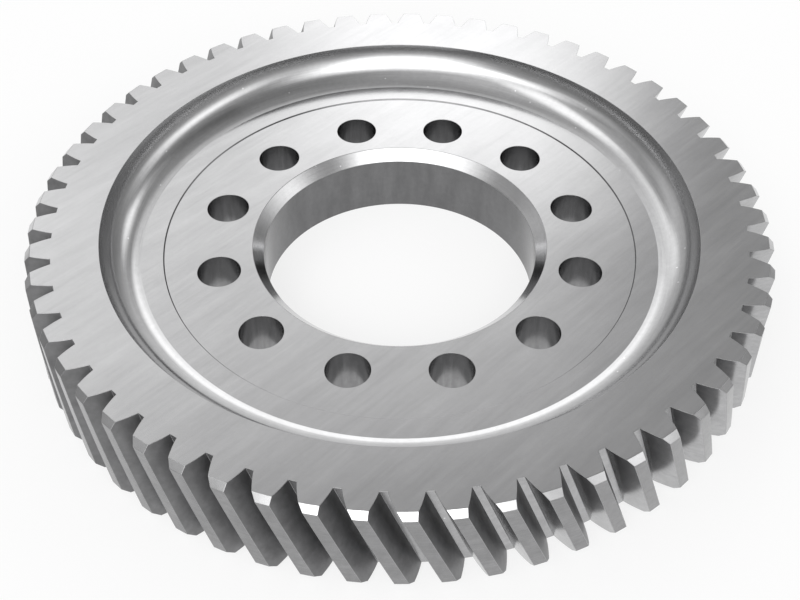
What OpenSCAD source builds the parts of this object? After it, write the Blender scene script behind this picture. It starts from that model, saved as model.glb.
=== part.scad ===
// Drive gear: one steel ring gear with left-hand helical teeth, a dished front face and a drilled hub flange.
// Millimetres. The gear lies on its rear boss with its axis along Z, and z = 0 is the rear face of the hub.

/* [Teeth] */
// Number of teeth around the rim
teeth = 57; // [54:1:72]
// Normal module, the tooth size measured square to the tooth
normal_module = 3; // [2.9:0.05:3.5]
// Normal pressure angle of the flanks, degrees
pressure_angle = 20; // [17.5:0.5:22.5]
// Helix angle at the pitch circle, degrees, left-hand
helix_angle = 20; // [15:1:28]
// Profile shift as a share of the normal module, which sets how thick the teeth are
profile_shift = 0.45; // [0.2:0.05:0.5]
// Height of the teeth over the pitch circle
addendum = 3.42; // [2.8:0.02:3.8]
// Depth of the tooth gaps under the pitch circle
dedendum = 3.08; // [2.6:0.02:3.4]
// Width of the toothed rim along the axis
face_width = 26; // [22:0.5:34]
// Chamfer at both ends of each tooth tip, measured inwards
tip_chamfer_in = 1.5; // [0.5:0.1:2]
// Chamfer at both ends of each tooth tip, measured along the axis
tip_chamfer_along = 1.5; // [0.5:0.05:2]
// Turn of the tooth pattern, degrees from +X to a gap centre on the front face
gap_angle = 2.5; // [0:0.1:6.3]

/* [Hub] */
// Diameter of the centre bore
bore_d = 71; // [50:0.5:76]
// Chamfer at the front end of the bore, 45 degrees
bore_chamfer = 2.75; // [0.5:0.25:3]
// Thickness of the hub flange from its rear face to its front seat
hub_thickness = 18.5; // [15:0.5:20]
// Diameter of the shallow front seat, turned into the flat floor of the dish
seat_d = 122; // [114:1:126]
// Depth of the front seat under the floor of the dish, with a 45-degree wall of the same width
seat_depth = 0.3; // [0.2:0.05:1]
// Height by which the rear boss stands behind the rim
boss_height = 1.5; // [0.5:0.25:3]
// Diameter of the rear boss
boss_d = 122; // [114:1:150]

/* [Bolt circle] */
// Number of bolt holes
bolt_count = 12; // [3:1:16]
// Diameter of the bolt circle
bolt_circle_d = 95; // [94:0.5:98]
// Diameter of each bolt hole
bolt_hole_d = 11; // [6:0.5:12]

/* [Dish] */
// Diameter of the sharp edge where the dish meets the front face of the rim
dish_d = 152; // [148:1:156]
// Radius of the concave curve between the floor of the dish and the rim
dish_curve_r = 10; // [9:0.5:12]

/* [Hidden] */
// The one piece that the gear is made of, and the piece to draw
// Sides given to round surfaces where only a mesh is drawn
round_sides = 96;
// Steps along the involute of one flank, and steps up the helix
flank_steps = 4;
helix_slices = 4;
// Length by which each cutting shape runs past the metal
overrun = 1;

// Levels along the axis
rim_front_z = boss_height + face_width;
dish_floor_z = hub_thickness + seat_depth;

// The dish curve leaves the flat floor without a corner and ends in a sharp edge at the rim
curve_centre_z = dish_floor_z + dish_curve_r;
curve_over_rim = max(0, curve_centre_z - rim_front_z);
curve_start_r = dish_d / 2 - sqrt(pow(dish_curve_r, 2) - pow(curve_over_rim, 2));

// Gear circles
pitch_r = teeth * normal_module / cos(helix_angle) / 2;
tip_r = pitch_r + addendum;
root_r = pitch_r - dedendum;
tooth_angle = 360 / teeth;
transverse_pressure_angle = atan(tan(pressure_angle) / cos(helix_angle));
base_r = pitch_r * cos(transverse_pressure_angle);
degrees_per_radian = 180 / PI;
twist_per_mm = tan(helix_angle) / pitch_r * degrees_per_radian;

// Half the angle that one tooth fills at the pitch circle
normal_thickness = normal_module * (PI / 2 + 2 * profile_shift * tan(pressure_angle));
pitch_half_angle = normal_thickness / cos(helix_angle) / pitch_r / 2 * degrees_per_radian;

function involute(a) = tan(a) * degrees_per_radian - a;
function half_angle(r) = pitch_half_angle + involute(transverse_pressure_angle) - involute(acos(base_r / r));
function flank_r(i) = root_r + (tip_r + overrun - root_r) * i / flank_steps;
function point_at(r, a) = [r * cos(a), r * sin(a)];

// Outline of the hobbed gear, with each tooth drawn on past the tip of the turned blank
gear_outline = [
  for (k = [0 : teeth - 1], side = [-1, 1], i = [0 : flank_steps])
    let (r = flank_r(side < 0 ? i : flank_steps - i))
      point_at(r, (k + 0.5) * tooth_angle + side * half_angle(r))
];

// Half section of the turned blank, from the bore out to the tip circle
module blank_section() {
  difference() {
    polygon([
      [bore_d / 2, 0],
      [boss_d / 2, 0],
      [boss_d / 2, boss_height],
      [tip_r - tip_chamfer_in, boss_height],
      [tip_r, boss_height + tip_chamfer_along],
      [tip_r, rim_front_z - tip_chamfer_along],
      [tip_r - tip_chamfer_in, rim_front_z],
      [curve_start_r, rim_front_z],
      [curve_start_r, dish_floor_z],
      [seat_d / 2 + seat_depth / 2, dish_floor_z],
      [seat_d / 2 - seat_depth / 2, hub_thickness],
      [bore_d / 2 + bore_chamfer, hub_thickness],
      [bore_d / 2, hub_thickness - bore_chamfer]
    ]);
    translate([curve_start_r, curve_centre_z]) circle(r = dish_curve_r, $fn = round_sides);
    // On a rim taller than the curve, a straight wall goes on above it
    translate([0, curve_centre_z]) square([curve_start_r + dish_curve_r, face_width]);
  }
}

// What the hob leaves, drawn longer than the rim at both ends
module hobbed_teeth() {
  height = rim_front_z + 2 * overrun;
  rotate(gap_angle + (rim_front_z + overrun) * twist_per_mm)
    translate([0, 0, -overrun])
      linear_extrude(height = height, twist = height * twist_per_mm, slices = helix_slices)
        polygon(gear_outline);
}

module bolt_holes() {
  for (k = [0 : bolt_count - 1])
    rotate((k + 0.5) * 360 / bolt_count)
      translate([bolt_circle_d / 2, 0, -overrun])
        cylinder(h = dish_floor_z + 2 * overrun, d = bolt_hole_d, $fn = round_sides);
}

// One forging, turned, drilled and hobbed
module drive_gear() {
  color([0.68, 0.68, 0.69])
    difference() {
      intersection() {
        rotate_extrude($fn = round_sides) blank_section();
        hobbed_teeth();
      }
      bolt_holes();
    }
}

drive_gear();
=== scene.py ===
# %% [markdown]
# # A helical drive gear in machined steel
# The part is a single steel ring gear. It was turned from one forging, its bolt holes were drilled and its
# teeth were hobbed, so it has one body and nothing that moves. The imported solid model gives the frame:
# every length here is in metres, and the gear lies flat on its rear boss with its axis along Z.

# %% Load the solid model
import math

import bmesh
import bpy
from mathutils import Matrix, Vector


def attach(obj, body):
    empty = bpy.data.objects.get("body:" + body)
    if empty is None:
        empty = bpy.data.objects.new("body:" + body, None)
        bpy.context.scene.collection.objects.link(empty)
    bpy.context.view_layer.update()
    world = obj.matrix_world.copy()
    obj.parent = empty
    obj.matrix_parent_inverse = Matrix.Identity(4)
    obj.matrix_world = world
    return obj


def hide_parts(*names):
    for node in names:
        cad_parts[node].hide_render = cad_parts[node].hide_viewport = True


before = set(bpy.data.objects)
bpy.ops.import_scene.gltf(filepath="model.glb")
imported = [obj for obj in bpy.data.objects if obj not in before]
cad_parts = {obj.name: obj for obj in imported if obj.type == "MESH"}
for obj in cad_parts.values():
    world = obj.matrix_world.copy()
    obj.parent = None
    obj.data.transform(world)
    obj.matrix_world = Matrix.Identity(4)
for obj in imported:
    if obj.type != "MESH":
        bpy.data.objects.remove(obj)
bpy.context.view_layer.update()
MM = 0.001

# %% [markdown]
# ## The sizes of the gear
# The visible gear replaces the faceted solid, so it takes the same sizes as the solid's source. A gear is
# drawn by rule: the module, the tooth count and the helix angle give the pitch circle, and the base circle
# under it gives the involute curve of each flank. Writing the rule out keeps the flanks true at any number
# of steps.

# %% Sizes, in millimetres and degrees
TEETH = 57
NORMAL_MODULE = 3.0
PRESSURE_ANGLE = math.radians(20)
HELIX_ANGLE = math.radians(20)
PROFILE_SHIFT = 0.45
FIRST_GAP = math.radians(2.5)
ADDENDUM, DEDENDUM = 3.42, 3.08
TIP_CHAMFER_IN, TIP_CHAMFER_ALONG = 1.5, 1.5
FACE_WIDTH, BOSS_HEIGHT = 26.0, 1.5
HUB_TOP, SEAT_DEPTH = 18.5, 0.3
BORE_R, BORE_CHAMFER = 35.5, 2.75
SEAT_R, BOSS_R = 61.0, 61.0
DISH_R, DISH_CURVE_R = 76.0, 10.0
DISH_CORNER = math.radians(3.8)
BOLT_COUNT, BOLT_CIRCLE_R, BOLT_HOLE_R = 12, 47.5, 5.5

RIM_FRONT = BOSS_HEIGHT + FACE_WIDTH
DISH_FLOOR = HUB_TOP + SEAT_DEPTH
PITCH_R = TEETH * NORMAL_MODULE / math.cos(HELIX_ANGLE) / 2
TIP_R, ROOT_R = PITCH_R + ADDENDUM, PITCH_R - DEDENDUM
TWIST_PER_MM = math.tan(HELIX_ANGLE) / PITCH_R
transverse = math.atan(math.tan(PRESSURE_ANGLE) / math.cos(HELIX_ANGLE))
BASE_R = PITCH_R * math.cos(transverse)


def involute(angle):
    """How far an involute has turned where its pressure angle is this one."""
    return math.tan(angle) - angle


def half_tooth(r):
    """Half the angle that one tooth fills at radius r."""
    normal_thickness = NORMAL_MODULE * (math.pi / 2 + 2 * PROFILE_SHIFT * math.tan(PRESSURE_ANGLE))
    at_pitch = normal_thickness / math.cos(HELIX_ANGLE) / PITCH_R / 2
    return at_pitch + involute(transverse) - involute(math.acos(BASE_R / r))


print("pitch, tip and root radius, mm:", round(PITCH_R, 3), round(TIP_R, 3), round(ROOT_R, 3))

# %% [markdown]
# ## Grids of points
# Each surface of the gear is a grid: rows of points, joined by four-sided faces. A point is kept as radius,
# angle and height, because that is how a lathe and a hobbing machine see the part. Two attributes go with
# the mesh: "finish" says on each face which tool cut it, and "turn_share" says on each point how far it
# follows the helix.

# %% A helper that collects grids into one mesh
GROUND, TURNED, TIPPED, CLEAN_CUT, DULL_SHADED_CUT, BORED, DRILLED = range(7)


class Sector:
    """Collects grids of (radius, angle, height, turn share) points, and makes one mesh of them."""

    def __init__(self, name):
        self.name, self.points, self.faces, self.finishes = name, [], [], []

    def grid(self, rows, finish):
        """Adds rows of points, with a face between each four neighbours."""
        first = len(self.points)
        width = len(rows[0])
        for row in rows:
            self.points += row
        for j in range(len(rows) - 1):
            for i in range(width - 1):
                a = first + j * width + i
                self.faces.append((a, a + 1, a + 1 + width, a + width))
                self.finishes.append(finish)

    def mesh_object(self):
        """The collected grids as an object, with both attributes."""
        places = [(r * math.cos(a) * MM, r * math.sin(a) * MM, z * MM) for r, a, z, _ in self.points]
        mesh = bpy.data.meshes.new(self.name)
        mesh.from_pydata(places, [], self.faces)
        mesh.attributes.new("finish", "INT", "FACE").data.foreach_set("value", self.finishes)
        shares = [point[3] for point in self.points]
        mesh.attributes.new("turn_share", "FLOAT", "POINT").data.foreach_set("value", shares)
        piece = bpy.data.objects.new(self.name, mesh)
        bpy.context.scene.collection.objects.link(piece)
        print(self.name, len(self.points), "points,", len(self.faces), "faces")
        return piece


def between(start, end, steps):
    """Values from start to end, both of them included."""
    return [start + (end - start) * i / steps for i in range(steps + 1)]


# %% [markdown]
# ## One tooth with its slice of the rim
# A hobbing machine cuts the same gap 57 times, so only one tooth is drawn, with the slice of the rim under
# it. It is drawn straight, as on a spur gear. The helix comes later, from a rule in the node tree. A hob
# enters a gap on one side and leaves it on the other, so one flank and the root are cut clean, and the
# other flank stays rougher. That other flank is also darker, by painted shade in the gap.

# %% The tooth and its root
FLANK_STEPS, HELIX_STEPS, TIP_STEPS, ROOT_STEPS = 7, 14, 4, 2
PITCH_ANGLE = 2 * math.pi / TEETH
tooth_centre = FIRST_GAP + PITCH_ANGLE / 2
levels = [BOSS_HEIGHT]
levels += between(BOSS_HEIGHT + TIP_CHAMFER_ALONG, RIM_FRONT - TIP_CHAMFER_ALONG, HELIX_STEPS)
levels.append(RIM_FRONT)
end_r = TIP_R - TIP_CHAMFER_IN


def top_r(z):
    """Radius of the tooth's top at height z: the chamfers lower it at both ends."""
    return end_r if z in (BOSS_HEIGHT, RIM_FRONT) else TIP_R


def across_tooth(r, z):
    """Points from flank to flank, at radius r and height z."""
    h = half_tooth(r)
    return [(r, a, z, 1.0) for a in between(tooth_centre - h, tooth_centre + h, TIP_STEPS)]


def root_angles(side):
    """Angles from the middle of the gap to the foot of the flank, on one side of the tooth."""
    foot = tooth_centre + side * half_tooth(ROOT_R)
    return between(tooth_centre + side * PITCH_ANGLE / 2, foot, ROOT_STEPS)


tooth = Sector("tooth_slice")
for side, finish in ((-1, CLEAN_CUT), (1, DULL_SHADED_CUT)):
    flank = [
        [(r, tooth_centre + side * half_tooth(r), z, 1.0) for r in between(ROOT_R, top_r(z), FLANK_STEPS)]
        for z in levels
    ]
    tooth.grid(flank, finish)
    tooth.grid([[(ROOT_R, a, z, 1.0) for a in root_angles(side)] for z in levels], CLEAN_CUT)
top = [across_tooth(top_r(z), z) for z in levels]
tooth.grid(top[:2], TURNED)
tooth.grid(top[1:-1], TIPPED)
tooth.grid(top[-2:], TURNED)

# %% [markdown]
# ## The flat ends of the slice
# Each end of the slice reaches from the tooth's tip down to a ring that it shares with the turned centre.
# That ring has eight steps for each tooth, which is also 38 steps for each twelfth of the circle, so teeth
# and bolt holes can share its points though 57 and 12 don't divide. The ring stays put while the teeth
# follow the helix, so the rows between the two take a share of the turn that grows from 0 to 1.

# %% Both flat ends
RING_STEPS, RIM_STEPS = 8, 3
RING_ANGLE = PITCH_ANGLE / RING_STEPS


def end_face(ring_r, z, helix_turn):
    """The end of the slice at height z, from the ring of radius ring_r out to the tooth's tip."""
    tooth.grid([across_tooth(r, z) for r in between(ROOT_R, end_r, FLANK_STEPS)], GROUND)
    base = [(ROOT_R, a, z, 1.0) for a in root_angles(-1)[:-1]]
    base += across_tooth(ROOT_R, z)
    base += [(ROOT_R, a, z, 1.0) for a in root_angles(1)[-2::-1]]
    first = round((tooth_centre + helix_turn - PITCH_ANGLE / 2) / RING_ANGLE)
    ring = [(ring_r, (first + i) * RING_ANGLE, z, 0.0) for i in range(RING_STEPS + 1)]
    rows = [
        [tuple(p + (q - p) * t for p, q in zip(inner, outer)) for inner, outer in zip(ring, base)]
        for t in between(0, 1, RIM_STEPS)
    ]
    tooth.grid(rows, GROUND)


end_face(DISH_R, RIM_FRONT, 0)
end_face(BOSS_R, BOSS_HEIGHT, FACE_WIDTH * TWIST_PER_MM)
tooth_slice = tooth.mesh_object()

# %% [markdown]
# ## The turned surfaces of one slice of the centre
# The centre was turned on a lathe: the curved wall of the dish, its flat floor, a shallow seat, the bore
# with its wide chamfer, and the boss behind. A slice of a twelfth of the circle holds one bolt hole. Each
# turned surface is a short outline, repeated at every angle of the slice. The dish's curve meets its floor
# in a corner of under four degrees. Nobody would measure it, but a mirror shows it, because the light
# breaks there in a line.

# %% The hub slice, as it comes off the lathe
SLICE_STEPS = RING_STEPS * TEETH // BOLT_COUNT
CURVE_STEPS, FLOOR_STEPS, BORE_STEPS = 24, 2, 4
slice_angle = 2 * math.pi / BOLT_COUNT
slice_angles = between(0, slice_angle, SLICE_STEPS)
hub = Sector("hub_slice")


def turned_rows(profile, finish):
    """Sweeps an outline of (radius, height) points round the slice."""
    hub.grid([[(r, a, z, 0.0) for a in slice_angles] for r, z in profile], finish)


curve_centre_z = DISH_FLOOR + DISH_CURVE_R
over_rim = curve_centre_z - RIM_FRONT
curve_start_r = DISH_R - math.sqrt(DISH_CURVE_R**2 - over_rim**2)
dish_curve = [
    (curve_start_r + DISH_CURVE_R * math.sin(t), curve_centre_z - DISH_CURVE_R * math.cos(t))
    for t in between(math.acos(over_rim / DISH_CURVE_R), DISH_CORNER, CURVE_STEPS)
]
corner_r = dish_curve[-1][0]
turned_rows(dish_curve[:-1] + [(corner_r, DISH_FLOOR)], TURNED)
print("the dish's curve starts at radius, mm:", round(corner_r, 2))
floor_end_r = SEAT_R + SEAT_DEPTH / 2
seat_r = SEAT_R - SEAT_DEPTH / 2
turned_rows([(r, DISH_FLOOR) for r in between(corner_r, floor_end_r, FLOOR_STEPS)], GROUND)
turned_rows([(floor_end_r, DISH_FLOOR), (seat_r, HUB_TOP)], BORED)
bore_chamfer_z = HUB_TOP - BORE_CHAMFER
turned_rows([(BORE_R + BORE_CHAMFER, HUB_TOP), (BORE_R, bore_chamfer_z)], TURNED)
turned_rows([(BORE_R, z) for z in between(bore_chamfer_z, 0, BORE_STEPS)], BORED)
turned_rows([(BOSS_R, 0), (BOSS_R, BOSS_HEIGHT)], TURNED)

# %% [markdown]
# ## The drilled faces
# The seat and the rear face each have a round hole in a slice that is nearly square. A Boolean would cut
# the hole, but it leaves long thin triangles. Here the slice's border and the hole get as many points as
# each other, and bands of four-sided faces join them, so the flat face stays flat and the hole stays round.

# %% One bolt hole, front and rear
SIDE_STEPS, HOLE_STEPS = 10, 3
HOLE_BANDS = (0, 0.12, 0.45, 1)


def slice_border(inner_r, outer_r):
    """The border of one slice, once round, as flat points."""
    out = [(outer_r, a) for a in slice_angles]
    out += [(r, slice_angle) for r in between(outer_r, inner_r, SIDE_STEPS)[1:]]
    out += [(inner_r, a) for a in slice_angles[-2::-1]]
    out += [(r, 0) for r in between(inner_r, outer_r, SIDE_STEPS)[1:]]
    return [Vector((r * math.cos(a), r * math.sin(a))) for r, a in out]


def polar_row(flat_points, z):
    """Flat points at height z, as radius and angle."""
    return [(p.length, math.atan2(p.y, p.x), z, 0.0) for p in flat_points]


hole_centre = Vector((math.cos(slice_angle / 2), math.sin(slice_angle / 2))) * BOLT_CIRCLE_R
around_count = 2 * (SLICE_STEPS + SIDE_STEPS)
first_way = slice_border(BORE_R, SEAT_R)[0] - hole_centre
first_angle = math.atan2(first_way.y, first_way.x)
hole_ring = [
    hole_centre + Vector((math.cos(first_angle + a), math.sin(first_angle + a))) * BOLT_HOLE_R
    for a in between(0, 2 * math.pi, around_count)
]


def drilled_face(inner_r, outer_r, z):
    """The flat face round the bolt hole at height z."""
    border = slice_border(inner_r, outer_r)
    bands = [[p.lerp(q, t) for p, q in zip(hole_ring, border)] for t in HOLE_BANDS]
    hub.grid([polar_row(band, z) for band in bands], GROUND)


drilled_face(BORE_R + BORE_CHAMFER, seat_r, HUB_TOP)
drilled_face(BORE_R, BOSS_R, 0)
hub.grid([polar_row(hole_ring, z) for z in between(HUB_TOP, 0, HOLE_STEPS)], DRILLED)
hub_slice = hub.mesh_object()

# %% [markdown]
# ## The whole gear by rule
# Two rules make the gear out of the two slices: repeat each slice round the axis, then turn every point by
# an angle that grows with its depth under the front face. The second rule is the helix. A node tree suits
# this better than copies made by hand, because the counts and the twist stay as named inputs that can be
# changed and seen at once. The tree realizes its instances, merges the doubled border points and gives each
# face the steel of its tool.

# %% Helpers that build node trees
def new_tree(name, kind, inputs, outputs):
    """A node group with its named inputs and outputs, and its two end nodes."""
    tree = bpy.data.node_groups.new(name, kind)
    for socket_name, socket_kind in inputs:
        tree.interface.new_socket(socket_name, in_out="INPUT", socket_type=socket_kind)
    for socket_name, socket_kind in outputs:
        tree.interface.new_socket(socket_name, in_out="OUTPUT", socket_type=socket_kind)
    return tree, tree.nodes.new("NodeGroupInput"), tree.nodes.new("NodeGroupOutput")


def add(tree, kind, links=(), **settings):
    """A new node with its settings, and with each (input, source) pair linked or set."""
    node = tree.nodes.new(kind)
    for key, value in settings.items():
        setattr(node, key, value)
    for where, source in links:
        socket = node.inputs[where]
        if isinstance(source, bpy.types.NodeSocket):
            tree.links.new(source, socket)
        else:
            socket.default_value = source
    return node


def math_node(tree, operation, first, second=0.0):
    """The result of one sum on two numbers."""
    return add(tree, "ShaderNodeMath", [(0, first), (1, second)], operation=operation).outputs[0]


def vector_node(tree, operation, first, second=(0, 0, 0)):
    """The result of one sum on two vectors: a number where the sum gives one, or else a vector."""
    node = add(tree, "ShaderNodeVectorMath", [(0, first), (1, second)], operation=operation)
    return node.outputs["Value" if operation in ("LENGTH", "DISTANCE", "DOT_PRODUCT") else "Vector"]


# %% A node tree that repeats the slices
FINISHES = (
    "Ground steel",
    "Turned steel",
    "Tip steel",
    "Clean hobbed steel",
    "Dull shaded hobbed steel",
    "Bored steel",
    "Drilled steel",
)
tree, given, result = new_tree(
    "gear_by_rule",
    "GeometryNodeTree",
    [
        ("Geometry", "NodeSocketGeometry"),
        ("Tooth slice", "NodeSocketObject"),
        ("Hub slice", "NodeSocketObject"),
        ("Teeth", "NodeSocketInt"),
        ("Bolt holes", "NodeSocketInt"),
        ("Twist", "NodeSocketFloat"),
        ("Front height", "NodeSocketFloat"),
    ]
    + [(finish, "NodeSocketMaterial") for finish in FINISHES],
    [("Geometry", "NodeSocketGeometry")],
)


def ring_of(slice_socket, count_socket):
    """Copies of one slice, spread evenly round the axis."""
    piece = add(tree, "GeometryNodeObjectInfo", [("Object", slice_socket), ("As Instance", True)])
    step = math_node(tree, "DIVIDE", 2 * math.pi, count_socket)
    number = add(tree, "GeometryNodeInputIndex").outputs[0]
    about_z = add(tree, "ShaderNodeCombineXYZ", [("Z", math_node(tree, "MULTIPLY", number, step))])
    turn = add(tree, "FunctionNodeEulerToRotation", [("Euler", about_z.outputs[0])])
    centres = add(tree, "GeometryNodePoints", [("Count", count_socket)])
    links = [
        ("Points", centres.outputs[0]),
        ("Instance", piece.outputs["Geometry"]),
        ("Rotation", turn.outputs[0]),
    ]
    return add(tree, "GeometryNodeInstanceOnPoints", links).outputs[0]


both = add(tree, "GeometryNodeJoinGeometry")
tree.links.new(ring_of(given.outputs["Tooth slice"], given.outputs["Teeth"]), both.inputs[0])
tree.links.new(ring_of(given.outputs["Hub slice"], given.outputs["Bolt holes"]), both.inputs[0])
shape = add(tree, "GeometryNodeRealizeInstances", [("Geometry", both.outputs[0])]).outputs[0]
print("inputs of the tree:", [socket.name for socket in given.outputs if socket.name])

# %% The helix and the merge
WELD = 0.003
place = add(tree, "GeometryNodeInputPosition").outputs[0]
height = add(tree, "ShaderNodeSeparateXYZ", [("Vector", place)]).outputs["Z"]
depth = math_node(tree, "SUBTRACT", given.outputs["Front height"], height)
full_turn = math_node(tree, "MULTIPLY", depth, given.outputs["Twist"])
share = add(tree, "GeometryNodeInputNamedAttribute", [("Name", "turn_share")], data_type="FLOAT")
own_turn = math_node(tree, "MULTIPLY", full_turn, share.outputs[0])
links = [("Vector", place), ("Angle", own_turn)]
turned_place = add(tree, "ShaderNodeVectorRotate", links, rotation_type="Z_AXIS").outputs[0]
shape = add(tree, "GeometryNodeSetPosition", [("Geometry", shape), ("Position", turned_place)]).outputs[0]
shape = add(tree, "GeometryNodeMergeByDistance", [("Geometry", shape), ("Distance", WELD * MM)]).outputs[0]
print("twist, degrees for each mm of depth:", round(math.degrees(TWIST_PER_MM), 4))

# %% The steel of each face
tool = add(tree, "GeometryNodeInputNamedAttribute", [("Name", "finish")], data_type="INT")
for finish_number, finish in enumerate(FINISHES):
    same = add(tree, "FunctionNodeCompare", data_type="INT", operation="EQUAL")
    ends = {socket.identifier: socket for socket in same.inputs}
    tree.links.new(tool.outputs["Attribute"], ends["A_INT"])
    ends["B_INT"].default_value = finish_number
    links = [("Geometry", shape), ("Selection", same.outputs[0]), ("Material", given.outputs[finish])]
    shape = add(tree, "GeometryNodeSetMaterial", links).outputs[0]
tree.links.new(shape, result.inputs[0])
print("the tree has", len(tree.nodes), "nodes")

# %% [markdown]
# ## Marks that machining leaves
# Bare steel has no colour of its own to speak of, so its looks come from what the tools left on it:
# straight streaks from the surface grinder, fine rings from the lathe, small bright nicks, and a faint
# cloudiness where hands and coolant have dulled it. Each mark is a shader group with named inputs, so that
# every finish can use it at its own scale. The groups read Object coordinates, which are metres on this
# gear, so each width is a real one.

# %% Helpers for the marks
def mark_group(name, sizes):
    """A shader group that turns a place on the gear into one grey value."""
    inputs = [("Vector", "NodeSocketVector")] + [(size, "NodeSocketFloat") for size in sizes]
    return new_tree(name, "ShaderNodeTree", inputs, [("Value", "NodeSocketFloat")])


def noise_value(group, vector, detail, roughness):
    """Noise with lumps about one unit of the vector across."""
    links = [("Vector", vector), ("Scale", 1.0), ("Detail", detail), ("Roughness", roughness)]
    return add(group, "ShaderNodeTexNoise", links, noise_dimensions="3D").outputs[0]


def all_ways(group, size):
    """A vector with the same size in each direction."""
    return add(group, "ShaderNodeCombineXYZ", [(axis, size) for axis in "XYZ"]).outputs[0]


# %% [markdown]
# ## Streaks
# A grinding wheel leaves long straight scratches. Noise makes round lumps, but if the place is divided by a
# long size one way and by a short size the other ways, the same lumps come out as streaks. The place is
# turned about Z first, so that the streaks can run at any slant.

# %% A shader group for streaks
streaks, given, result = mark_group("grinding_streaks", ("Turn", "Length", "Width"))
links = [("Vector", given.outputs["Vector"]), ("Angle", given.outputs["Turn"])]
along = add(streaks, "ShaderNodeVectorRotate", links, rotation_type="Z_AXIS").outputs[0]
sizes = [("X", given.outputs["Length"]), ("Y", given.outputs["Width"]), ("Z", given.outputs["Width"])]
stretch = add(streaks, "ShaderNodeCombineXYZ", sizes).outputs[0]
place = vector_node(streaks, "DIVIDE", along, stretch)
streaks.links.new(noise_value(streaks, place, detail=3.0, roughness=0.55), result.inputs[0])
print("streaks have", len(streaks.nodes), "nodes")

# %% [markdown]
# ## Rings and patches
# A lathe tool leaves rings round the axis, on flat faces and on walls alike. So the noise reads the
# distance from the axis plus the height, divided by the width of a ring. It reads X and Y too, divided by a
# much longer size, so that a ring changes slowly on its way round. Patches are plain noise at one size.

# %% Shader groups for rings and patches
rings, given, result = mark_group("lathe_rings", ("Length", "Width"))
part = add(rings, "ShaderNodeSeparateXYZ", [("Vector", given.outputs["Vector"])]).outputs
flat = add(rings, "ShaderNodeCombineXYZ", [("X", part["X"]), ("Y", part["Y"])]).outputs[0]
path = math_node(rings, "ADD", vector_node(rings, "LENGTH", flat), part["Z"])
across = math_node(rings, "DIVIDE", path, given.outputs["Width"])
long_x = math_node(rings, "DIVIDE", part["X"], given.outputs["Length"])
long_y = math_node(rings, "DIVIDE", part["Y"], given.outputs["Length"])
place = add(rings, "ShaderNodeCombineXYZ", [(0, across), (1, long_x), (2, long_y)]).outputs[0]
rings.links.new(noise_value(rings, place, detail=2.0, roughness=0.5), result.inputs[0])

patches, given, result = mark_group("dull_patches", ("Size",))
place = vector_node(patches, "DIVIDE", given.outputs["Vector"], all_ways(patches, given.outputs["Size"]))
patches.links.new(noise_value(patches, place, detail=2.0, roughness=0.6), result.inputs[0])
print("rings have", len(rings.nodes), "nodes, and patches", len(patches.nodes))

# %% [markdown]
# ## Nicks
# A turned face gets nicks where parts knock together in a bin: few, tiny and bright. A Voronoi texture
# fills space with cells that each have a middle and a colour of their own. A nick is a small ball round the
# middle, and only a cell whose own colour is over a limit gets one, which leaves the others bare.

# %% A shader group for bright nicks
NICKED_OVER = 0.6
nicks, given, result = mark_group("bright_nicks", ("Spacing", "Size"))
place = vector_node(nicks, "DIVIDE", given.outputs["Vector"], all_ways(nicks, given.outputs["Spacing"]))
cell = add(nicks, "ShaderNodeTexVoronoi", [("Vector", place), ("Scale", 1.0)], feature="F1").outputs
reach = math_node(nicks, "MULTIPLY", cell["Distance"], given.outputs["Spacing"])
within = math_node(nicks, "LESS_THAN", reach, given.outputs["Size"])
own = add(nicks, "ShaderNodeSeparateColor", [("Color", cell["Color"])]).outputs[0]
chosen = math_node(nicks, "GREATER_THAN", own, NICKED_OVER)
nicks.links.new(math_node(nicks, "MULTIPLY", within, chosen), result.inputs[0])
print("nicks have", len(nicks.nodes), "nodes")

# %% [markdown]
# ## Shading by a mark
# A mark is a grey value that swings round the middle. To make a colour lighter or darker by it, the middle is
# taken off, the rest is scaled by an amount, and the colour is multiplied by one more than that. A Mix node
# could blend two colours instead, but then every steel would need two.

# %% A shader group that shades a colour
EVEN = 0.5
shade, given, result = new_tree(
    "shade_by_mark",
    "ShaderNodeTree",
    [("Color", "NodeSocketColor"), ("Mark", "NodeSocketFloat"), ("Amount", "NodeSocketFloat")],
    [("Color", "NodeSocketColor")],
)
from_even = math_node(shade, "SUBTRACT", given.outputs["Mark"], EVEN)
swing = math_node(shade, "MULTIPLY", from_even, given.outputs["Amount"])
links = [(0, given.outputs["Color"]), ("Scale", math_node(shade, "ADD", swing, 1.0))]
shaded = add(shade, "ShaderNodeVectorMath", links, operation="SCALE")
shade.links.new(shaded.outputs[0], result.inputs[0])
print("shader groups:", [group.name for group in (streaks, rings, patches, nicks, shade)])

# %% [markdown]
# ## The steels
# All surfaces are the same bare steel, so one builder makes them all. Each gets its own grey, because a
# rougher cut sends less light back, and its own mark. The greys of the duller flank in each gap and of
# the walls of the bore and the holes are darker still, by painted shade. The marks drive shade, roughness
# and a very shallow bump, because a scratch on metal shows by how it spreads light. A fine mottle goes
# under each, which keeps the edge of a reflection from looking drawn with a ruler. The last two millimetres
# of the dish's wall, under its sharp edge, are rougher and carry painted shade, which stands for a dark
# reflection there: a mask made from the distance to the axis darkens and roughens them.

# %% Placing a group, shading a tint, and the painted shade on the dish's lip
# in millimetres from the dish's edge: where the rough lip with painted shade starts and is full, and how far
# outside it ends
LIP_START, LIP_FULL, LIP_PAST = 2.2, 0.3, 1.0


def place_group(nodes, group, links):
    """A shader group, placed with its own values. Gives its output."""
    return add(nodes, "ShaderNodeGroup", links, node_tree=group).outputs[0]


def shade_by(nodes, tint, mark, amount):
    """The tint, made lighter where the mark is high and darker where it is low."""
    return place_group(nodes, shade, [("Color", tint), ("Mark", mark), ("Amount", amount)])


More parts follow.
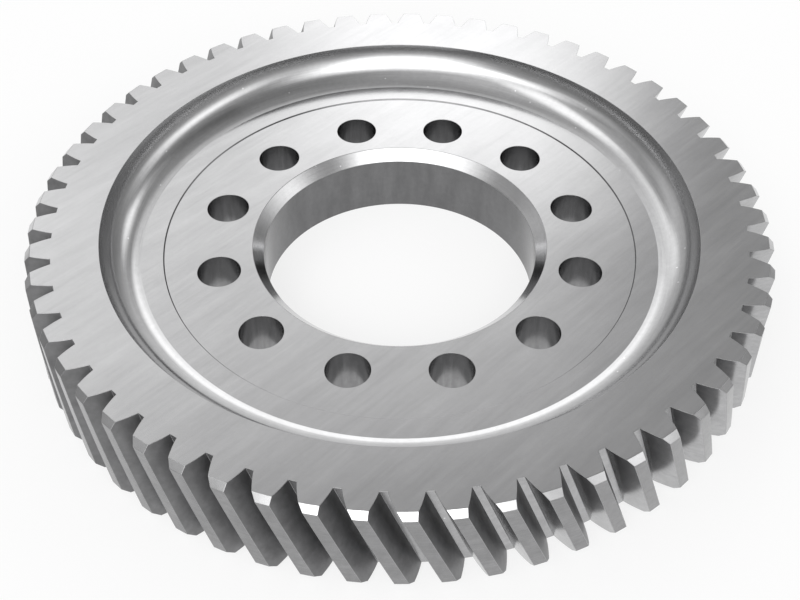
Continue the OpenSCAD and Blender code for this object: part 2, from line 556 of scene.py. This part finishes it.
def lip_mask(nodes, coordinates):
    """1 on the last stretch of the dish's wall, under its sharp edge, and 0 everywhere else."""
    from_axis = vector_node(nodes, "LENGTH", vector_node(nodes, "MULTIPLY", coordinates, (1, 1, 0)))
    start, full = (DISH_R - LIP_START) * MM, (DISH_R - LIP_FULL) * MM
    rise = add(nodes, "ShaderNodeMapRange", [("Value", from_axis), ("From Min", start), ("From Max", full)])
    in_dish = math_node(nodes, "LESS_THAN", from_axis, (DISH_R + LIP_PAST) * MM)
    return math_node(nodes, "MULTIPLY", rise.outputs[0], in_dish)


# %% A builder for the steels
# lengths in millimetres
MOTTLE_SIZE, RELIEF = 1.3, 0.002
NICK_SPACING, NICK_SIZE = 3.2, 0.22
MARK_LOW, MARK_HIGH = 0.25, 0.75
ROUGHNESS_SWING, LIP_ROUGHNESS = 0.03, 0.13


def steel(name, grey, marks, roughness, shading, mottle, clouds=(16, 0.15), nick=0.0, lip=0.0):
    """A bare steel whose marks drive its shade, roughness and bump. The clouds are a size and an amount."""
    material = bpy.data.materials.new(name)
    material.use_nodes = True
    nodes = material.node_tree
    nodes.nodes.clear()
    coordinates = add(nodes, "ShaderNodeTexCoord").outputs["Object"]
    mark = marks(nodes, coordinates)
    cloud_size, cloudiness = clouds
    cloud = place_group(nodes, patches, [("Vector", coordinates), ("Size", cloud_size * MM)])
    fine = place_group(nodes, patches, [("Vector", coordinates), ("Size", MOTTLE_SIZE * MM)])
    tint = shade_by(nodes, grey, mark, shading)
    tint = shade_by(nodes, tint, cloud, cloudiness)
    tint = shade_by(nodes, tint, fine, mottle)
    if nick:
        links = [("Vector", coordinates), ("Spacing", NICK_SPACING * MM), ("Size", NICK_SIZE * MM)]
        spots = place_group(nodes, nicks, links)
        tint = shade_by(nodes, tint, math_node(nodes, "ADD", spots, EVEN), nick)
    links = [("Value", mark), ("From Min", MARK_LOW), ("From Max", MARK_HIGH)]
    links += [("To Min", roughness - ROUGHNESS_SWING), ("To Max", roughness + ROUGHNESS_SWING)]
    spread = add(nodes, "ShaderNodeMapRange", links).outputs[0]
    # painted shade: the lip amount darkens the dish's last stretch of wall, for a dark reflection there; the
    # added roughness is real
    if lip:
        near_lip = lip_mask(nodes, coordinates)
        spread = math_node(nodes, "ADD", spread, math_node(nodes, "MULTIPLY", near_lip, LIP_ROUGHNESS))
        tint = shade_by(nodes, tint, math_node(nodes, "ADD", near_lip, EVEN), -lip)
    height = math_node(nodes, "ADD", mark, fine)
    bump = add(nodes, "ShaderNodeBump", [("Height", height), ("Distance", RELIEF * MM)])
    links = [("Base Color", tint), ("Metallic", 1.0), ("Roughness", spread), ("Normal", bump.outputs[0])]
    surface = add(nodes, "ShaderNodeBsdfPrincipled", links)
    add(nodes, "ShaderNodeOutputMaterial", [("Surface", surface.outputs[0])])
    print(name, "has", len(nodes.nodes), "nodes")
    return material


# %% [markdown]
# ## The marks of each tool
# A grinding wheel crosses the faces in one slanting direction, so its mark is two layers of long streaks, a
# broad one and a fine one. A lathe leaves rings. A hob leaves short feed marks on the flanks. A drill and a
# boring bar leave marks that show as upright streaks on the wall of the hole. Each mark is a function that
# places a group at this tool's scale, so a steel can be given its tool as it is given its grey.

# %% Marks, with lengths in millimetres
GRIND_BROAD, GRIND_FINE = (-44, 26, 3.2), (-47, 16, 1.0)
FINE_SHARE = 0.35
RING_LENGTH, RING_WIDTH = 9, 0.4


def streak(nodes, coordinates, turn, length, width):
    """Streaks of this length and width, turned about Z by this many degrees."""
    links = [("Vector", coordinates), ("Turn", math.radians(turn))]
    links += [("Length", length * MM), ("Width", width * MM)]
    return place_group(nodes, streaks, links)


def ground_marks(nodes, coordinates):
    broad, fine = streak(nodes, coordinates, *GRIND_BROAD), streak(nodes, coordinates, *GRIND_FINE)
    return add(nodes, "ShaderNodeMix", [(0, FINE_SHARE), (2, broad), (3, fine)]).outputs[0]


def turned_marks(nodes, coordinates):
    links = [("Vector", coordinates), ("Length", RING_LENGTH * MM), ("Width", RING_WIDTH * MM)]
    return place_group(nodes, rings, links)


def feed_marks(nodes, coordinates):
    return streak(nodes, coordinates, turn=0, length=3, width=1.5)


def drill_marks(nodes, coordinates):
    return streak(nodes, coordinates, turn=0, length=1.2, width=9)


def bore_marks(nodes, coordinates):
    return streak(nodes, coordinates, turn=0, length=3, width=14)


# %% [markdown]
# ## Eight finishes
# The faces and the turned surfaces are bright, with a narrow spread of light, so that they mirror the room.
# The hobbed flanks are rougher and patchy, and the tips lie between. The walls of the bore and the holes
# are darker, partly as a duller bored and drilled finish and partly by painted shade inside them. The
# duller flank of each gap is darker by painted shade too. The last one, worn steel, is for the broken edges.

# %% The steels of this gear
def grey(value, blue):
    """A steel's colour: an even grey with a trace of blue."""
    return (value, value, blue, 1.0)


# the rougher flank's grey is lower than the clean flank's by painted shade in the tooth gaps, on top of its
# rougher finish
bright, tip, clean, dull_and_shaded = grey(0.54, 0.545), grey(0.29, 0.293), grey(0.42, 0.425), grey(0.225, 0.228)
ground_steel = steel("ground_steel", bright, ground_marks, 0.13, shading=0.36, mottle=0.06)
turned_steel = steel("turned_steel", bright, turned_marks, 0.13, shading=0.2, mottle=0.16, nick=0.6, lip=0.36)
tip_steel = steel("tip_steel", tip, turned_marks, 0.2, shading=0.3, mottle=0.25, clouds=(6, 0.35))
clean_hobbed_steel = steel(
    "clean_hobbed_steel", clean, feed_marks, 0.2, shading=0.3, mottle=0.25, clouds=(6, 0.35), nick=0.6
)
dull_shaded_hobbed_steel = steel(
    "dull_shaded_hobbed_steel", dull_and_shaded, feed_marks, 0.42, shading=0.3, mottle=0.3, clouds=(5, 0.6)
)
# painted shade: the bore and hole walls get darker greys than their finish alone, for the shade inside them
bored_steel = steel("bored_steel", grey(0.18, 0.183), bore_marks, 0.2, shading=0.6, mottle=0.2)
drilled_steel = steel("drilled_steel", grey(0.34, 0.344), drill_marks, 0.2, shading=0.7, mottle=0.25)
worn_steel = steel("worn_steel", grey(0.36, 0.364), turned_marks, 0.3, shading=0.4, mottle=0.4)

# %% [markdown]
# ## From the tree to a plain mesh
# The gear is kept as a plain mesh, not a tree. A modifier on an empty seed object runs the tree,
# the evaluated result is copied into a mesh of its own, and the seed and the two slices are deleted. A
# modifier's input is set by the socket's identifier, because two sockets may share a name.

# %% Run the tree and keep its result
seed = bpy.data.objects.new("gear_seed", bpy.data.meshes.new("gear_seed"))
bpy.context.scene.collection.objects.link(seed)
by_rule = seed.modifiers.new("gear_by_rule", "NODES")
by_rule.node_group = tree
values = {
    "Tooth slice": tooth_slice,
    "Hub slice": hub_slice,
    "Teeth": TEETH,
    "Bolt holes": BOLT_COUNT,
    "Twist": TWIST_PER_MM / MM,
    "Front height": RIM_FRONT * MM,
    "Ground steel": ground_steel,
    "Turned steel": turned_steel,
    "Tip steel": tip_steel,
    "Clean hobbed steel": clean_hobbed_steel,
    "Dull shaded hobbed steel": dull_shaded_hobbed_steel,
    "Bored steel": bored_steel,
    "Drilled steel": drilled_steel,
}
for item in tree.interface.items_tree:
    if item.in_out == "INPUT" and item.name in values:
        by_rule[item.identifier] = values[item.name]
depsgraph = bpy.context.evaluated_depsgraph_get()
gear_mesh = bpy.data.meshes.new_from_object(seed.evaluated_get(depsgraph), depsgraph=depsgraph)
gear = bpy.data.objects.new("steel_gear", gear_mesh)
bpy.context.scene.collection.objects.link(gear)
for helper in (seed, tooth_slice, hub_slice):
    bpy.data.objects.remove(helper)
print("gear:", len(gear_mesh.polygons), "faces")

# %% [markdown]
# ## Faces outwards, and a closed shell
# The grids were drawn without care for which way each face looks, so one operation turns them all outwards,
# once the borders are merged. A shell is closed if every edge has two faces, and then its volume can be set
# against the solid's. Faces are smooth, and the slight corner in the dish is marked sharp, or smoothing
# would hide it. Each edge over a limit gets a weight for the edge break that follows: the seat's small step
# takes a smaller one.

# %% Turn the faces, and mark the edges
SHARP_ANGLE = math.radians(28)
SEAT_EDGE_SHARE = 0.25
gear_mesh.materials.pop(index=0)
gear_mesh.materials.append(worn_steel)
shell = bmesh.new()
shell.from_mesh(gear_mesh)
bmesh.ops.recalc_face_normals(shell, faces=shell.faces)
open_edges = sum(1 for edge in shell.edges if len(edge.link_faces) != 2)
volume = shell.calc_volume() / MM**3
for face in shell.faces:
    face.smooth = True
edge_weight = shell.edges.layers.float.new("bevel_weight_edge")
for edge in shell.edges:
    middle = (edge.verts[0].co + edge.verts[1].co) / 2
    r, z = middle.xy.length, middle.z
    if abs(z - DISH_FLOOR * MM) < WELD * MM and abs(r - corner_r * MM) < WELD * MM:
        edge.smooth = False
    if edge.calc_face_angle(0) > SHARP_ANGLE:
        at_seat = z > HUB_TOP * MM / 2 and abs(r - SEAT_R * MM) < SEAT_DEPTH * MM
        edge[edge_weight] = SEAT_EDGE_SHARE if at_seat else 1.0
shell.to_mesh(gear_mesh)
shell.free()
print("open edges:", open_edges, "and volume, cubic mm:", round(volume))
face_count = [0] * len(gear_mesh.materials)
for polygon in gear_mesh.polygons:
    face_count[polygon.material_index] += 1
print("faces of each steel:", {m.name: n for m, n in zip(gear_mesh.materials, face_count)})

# %% [markdown]
# ## Edges
# No edge of a machined gear is left knife-sharp: it is broken with a file or a brush, which leaves a narrow
# strip that catches the light. A bevel modifier makes the strip on every weighted edge at once, and gives
# it the worn steel.

# %% Break the sharp edges
EDGE_BREAK = 0.08
edge_break = gear.modifiers.new("edge_break", "BEVEL")
edge_break.width = EDGE_BREAK * MM
edge_break.segments = 2
edge_break.limit_method = "WEIGHT"
edge_break.harden_normals = True
edge_break.material = len(gear_mesh.materials) - 1
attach(gear, "root")
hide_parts("drive_gear")
print("edges broken by, mm:", EDGE_BREAK)

# %% [markdown]
# ## The camera
# The camera stands where the picture's own perspective puts it: about 45 degrees above the gear, a third of
# a metre away. Its place was found by fitting the gear's circles and holes to the picture, not by eye.

# %% A camera at the picture's angle
IMAGE_WIDTH = 800
FOCAL_PIXELS = 1283.9356
TILT = 0.78443377
DISTANCE = 318.91 * MM
TARGET = Vector((0.097, -22.516, 18.5)) * MM
ROLL, GEAR_TURN = 0.00228776, 0.0026615

sight = Vector((0, math.cos(TILT), -math.sin(TILT)))
right, up = Vector((1, 0, 0)), Vector((0, math.sin(TILT), math.cos(TILT)))
rolled_right = math.cos(ROLL) * right + math.sin(ROLL) * up
rolled_up = math.cos(ROLL) * up - math.sin(ROLL) * right
axes = Matrix((rolled_right, rolled_up, -sight)).transposed().to_4x4()
stand = Matrix.Translation(TARGET - sight * DISTANCE) @ axes
camera_data = bpy.data.cameras.new("camera")
camera_data.sensor_width = 36
camera_data.lens = FOCAL_PIXELS * camera_data.sensor_width / IMAGE_WIDTH
camera = bpy.data.objects.new("camera", camera_data)
camera.matrix_world = Matrix.Rotation(-GEAR_TURN, 4, "Z") @ stand
bpy.context.scene.collection.objects.link(camera)
bpy.context.scene.camera = camera
print("camera at, mm:", [round(v / MM, 1) for v in camera.matrix_world.translation])

# %% [markdown]
# ## The light
# Bare metal has hardly any tone of its own: what it shows is the room. So the light is a plain studio of
# soft boxes, built in the world shader, where each box can have soft edges. Lamps would do the same, but
# each would be mirrored as a hard shape. A box is a direction, two half sizes and a strength: the shader
# asks how far the view direction leans to each side of the box, and a power of four rounds the box's
# corners.

# %% A shader group for one soft box in the room
ROUNDING = 4.0
box_inputs = [("Direction", "NodeSocketVector"), ("Centre", "NodeSocketVector"), ("Side", "NodeSocketVector")]
box_inputs += [("Upward", "NodeSocketVector"), ("Half width", "NodeSocketFloat")]
box_inputs += [("Half height", "NodeSocketFloat"), ("Softness", "NodeSocketFloat")]
box_inputs += [("Strength", "NodeSocketFloat")]
soft_box, given, result = new_tree("soft_box", "ShaderNodeTree", box_inputs, [("Light", "NodeSocketFloat")])


def lean(way):
    """How far the view direction leans one way."""
    return vector_node(soft_box, "DOT_PRODUCT", given.outputs["Direction"], given.outputs[way])


parts = []
for way, half in (("Side", "Half width"), ("Upward", "Half height")):
    size = math_node(soft_box, "ABSOLUTE", math_node(soft_box, "DIVIDE", lean(way), given.outputs[half]))
    parts.append(math_node(soft_box, "POWER", size, ROUNDING))
edge = math_node(soft_box, "POWER", math_node(soft_box, "ADD", *parts), 1 / ROUNDING)
outer = math_node(soft_box, "ADD", 1.0, given.outputs["Softness"])
inner = math_node(soft_box, "SUBTRACT", 1.0, given.outputs["Softness"])
links = [("Value", edge), ("From Min", outer), ("From Max", inner)]
inside = add(soft_box, "ShaderNodeMapRange", links, interpolation_type="SMOOTHSTEP").outputs[0]
facing = math_node(soft_box, "GREATER_THAN", lean("Centre"), 0.0)
seen_box = math_node(soft_box, "MULTIPLY", inside, facing)
lit = math_node(soft_box, "MULTIPLY", seen_box, given.outputs["Strength"])
soft_box.links.new(lit, result.inputs[0])
print("a soft box has", len(soft_box.nodes), "nodes")

# %% [markdown]
# ## The room and its boxes
# The room is an even grey that grows lighter upwards, and the boxes are added to it. A wide one stands
# behind the camera, and smaller ones stand far, left and right, above the gear. A box of negative strength
# takes light away, as a black flag does in a studio: without a few of them bright metal would have no dark
# lines to show its form.

# %% Soft boxes
ROOM_SLOPE, ROOM_LEVEL, ROOM_DARKEST = (0.086, -0.176, 0.537), 0.306, 0.02
# name, azimuth from the far side towards +X, elevation, half width, half height, softness, strength
BOXES = [
    ("behind_the_camera", 179, 39.8, 22.6, 19.6, 0.70, 2.79),
    ("behind_left", -150, 41.4, 29.1, 6.5, 0.95, 2.02),
    ("left", -82, 59.8, 22.9, 7.5, 0.55, 1.11),
    ("far", 3, 34.7, 6.9, 5.5, 0.71, 1.03),
    ("far_low", 8, 12.2, 13.5, 14.1, 0.95, 0.44),
    ("far_left", -30, 17.7, 36.8, 13.5, 0.43, 0.38),
    ("far_glow", -14, 36.9, 12.8, 10.8, 0.95, 1.72),
    ("far_right", 36, 32.2, 6.3, 6.1, 0.95, 1.18),
    ("far_right_high", 44, 39.1, 7.9, 7.9, 0.35, 0.15),
    ("right", 98, 28.8, 24.4, 6.9, 0.89, 1.26),
    ("dark_right", 41, 51.4, 36.3, 14.3, 0.04, -0.08),
    ("dark_high_right", 88, 67.7, 26.8, 23.6, 0.87, -0.54),
    ("dark_far", -12, 35.1, 10.0, 11.3, 0.78, -1.05),
    ("dark_left", -109, 34.9, 15.7, 6.0, 0.59, -0.37),
    ("dark_behind_right", 158, 22.9, 7.6, 10.6, 0.95, -0.83),
]

bpy.context.scene.view_settings.view_transform = "Standard"
world = bpy.data.worlds.new("studio")
bpy.context.scene.world = world
world.use_nodes = True
room = world.node_tree
room.nodes.clear()
direction = add(room, "ShaderNodeTexCoord").outputs["Generated"]
light = math_node(room, "ADD", vector_node(room, "DOT_PRODUCT", direction, ROOM_SLOPE), ROOM_LEVEL)
for name, azimuth, elevation, half_width, half_height, softness, strength in BOXES:
    a, e = math.radians(azimuth), math.radians(elevation)
    links = [
        ("Direction", direction),
        ("Centre", (math.sin(a) * math.cos(e), math.cos(a) * math.cos(e), math.sin(e))),
        ("Side", (math.cos(a), -math.sin(a), 0)),
        ("Upward", (-math.sin(a) * math.sin(e), -math.cos(a) * math.sin(e), math.cos(e))),
        ("Half width", math.sin(math.radians(half_width))),
        ("Half height", math.sin(math.radians(half_height))),
        ("Softness", softness),
        ("Strength", strength),
    ]
    light = math_node(room, "ADD", light, place_group(room, soft_box, links))
brightness = math_node(room, "MAXIMUM", light, ROOM_DARKEST)
background = add(room, "ShaderNodeBackground", [("Color", brightness)])
add(room, "ShaderNodeOutputWorld", [("Surface", background.outputs[0])])
print("soft boxes:", len(BOXES))

# %% [markdown]
# ## A pale floor
# The gear lies on a sheet of white paper, with a painted pool of light on it: the paper's colour is white
# where it fills the picture and fades to a light grey further out, so it doesn't throw more light at the
# teeth than the picture shows. A floor that is only matt would look grey in such a soft room, so to the
# camera and in reflections three quarters of it glow by themselves. The last quarter stays matt and keeps
# the gear's shadow.

# %% The floor and its paper
FLOOR_HALF = 3
POOL_CENTRE = (0, 30 * MM, 0)
POOL_R, POOL_END_R = 210 * MM, 270 * MM
FAR_TONE, MATT_TONE, GLOW_SHARE = 0.45, 0.88, 0.75

floor_mesh = bpy.data.meshes.new("floor")
corners = [(-FLOOR_HALF, -FLOOR_HALF, 0), (FLOOR_HALF, -FLOOR_HALF, 0)]
corners += [(FLOOR_HALF, FLOOR_HALF, 0), (-FLOOR_HALF, FLOOR_HALF, 0)]
floor_mesh.from_pydata(corners, [], [(0, 1, 2, 3)])
floor = bpy.data.objects.new("floor", floor_mesh)
bpy.context.scene.collection.objects.link(floor)
paper = bpy.data.materials.new("white_paper")
paper.use_nodes = True
nodes = paper.node_tree
nodes.nodes.clear()
ray = add(nodes, "ShaderNodeLightPath").outputs
seen = math_node(nodes, "MAXIMUM", ray["Is Camera Ray"], ray["Is Glossy Ray"])
seen = math_node(nodes, "MAXIMUM", seen, ray["Is Transmission Ray"])
# painted pool of light: the tone is 1 within POOL_R of POOL_CENTRE and falls to FAR_TONE by POOL_END_R, in
# the glow and the matt colour alike
spot = add(nodes, "ShaderNodeTexCoord").outputs["Object"]
from_centre = vector_node(nodes, "DISTANCE", spot, POOL_CENTRE)
links = [("Value", from_centre), ("From Min", POOL_R), ("From Max", POOL_END_R)]
links += [("To Min", 1.0), ("To Max", FAR_TONE)]
tone = add(nodes, "ShaderNodeMapRange", links, interpolation_type="SMOOTHSTEP").outputs[0]
matt = add(nodes, "ShaderNodeBsdfDiffuse", [("Color", math_node(nodes, "MULTIPLY", tone, MATT_TONE))])
white = add(nodes, "ShaderNodeEmission", [("Color", tone), ("Strength", 1.0)])
links = [(0, math_node(nodes, "MULTIPLY", seen, GLOW_SHARE)), (1, matt.outputs[0]), (2, white.outputs[0])]
blend = add(nodes, "ShaderNodeMixShader", links)
add(nodes, "ShaderNodeOutputMaterial", [("Surface", blend.outputs[0])])
floor_mesh.materials.append(paper)
print("white out to, mm:", round(POOL_R / MM), "and grey from, mm:", round(POOL_END_R / MM))
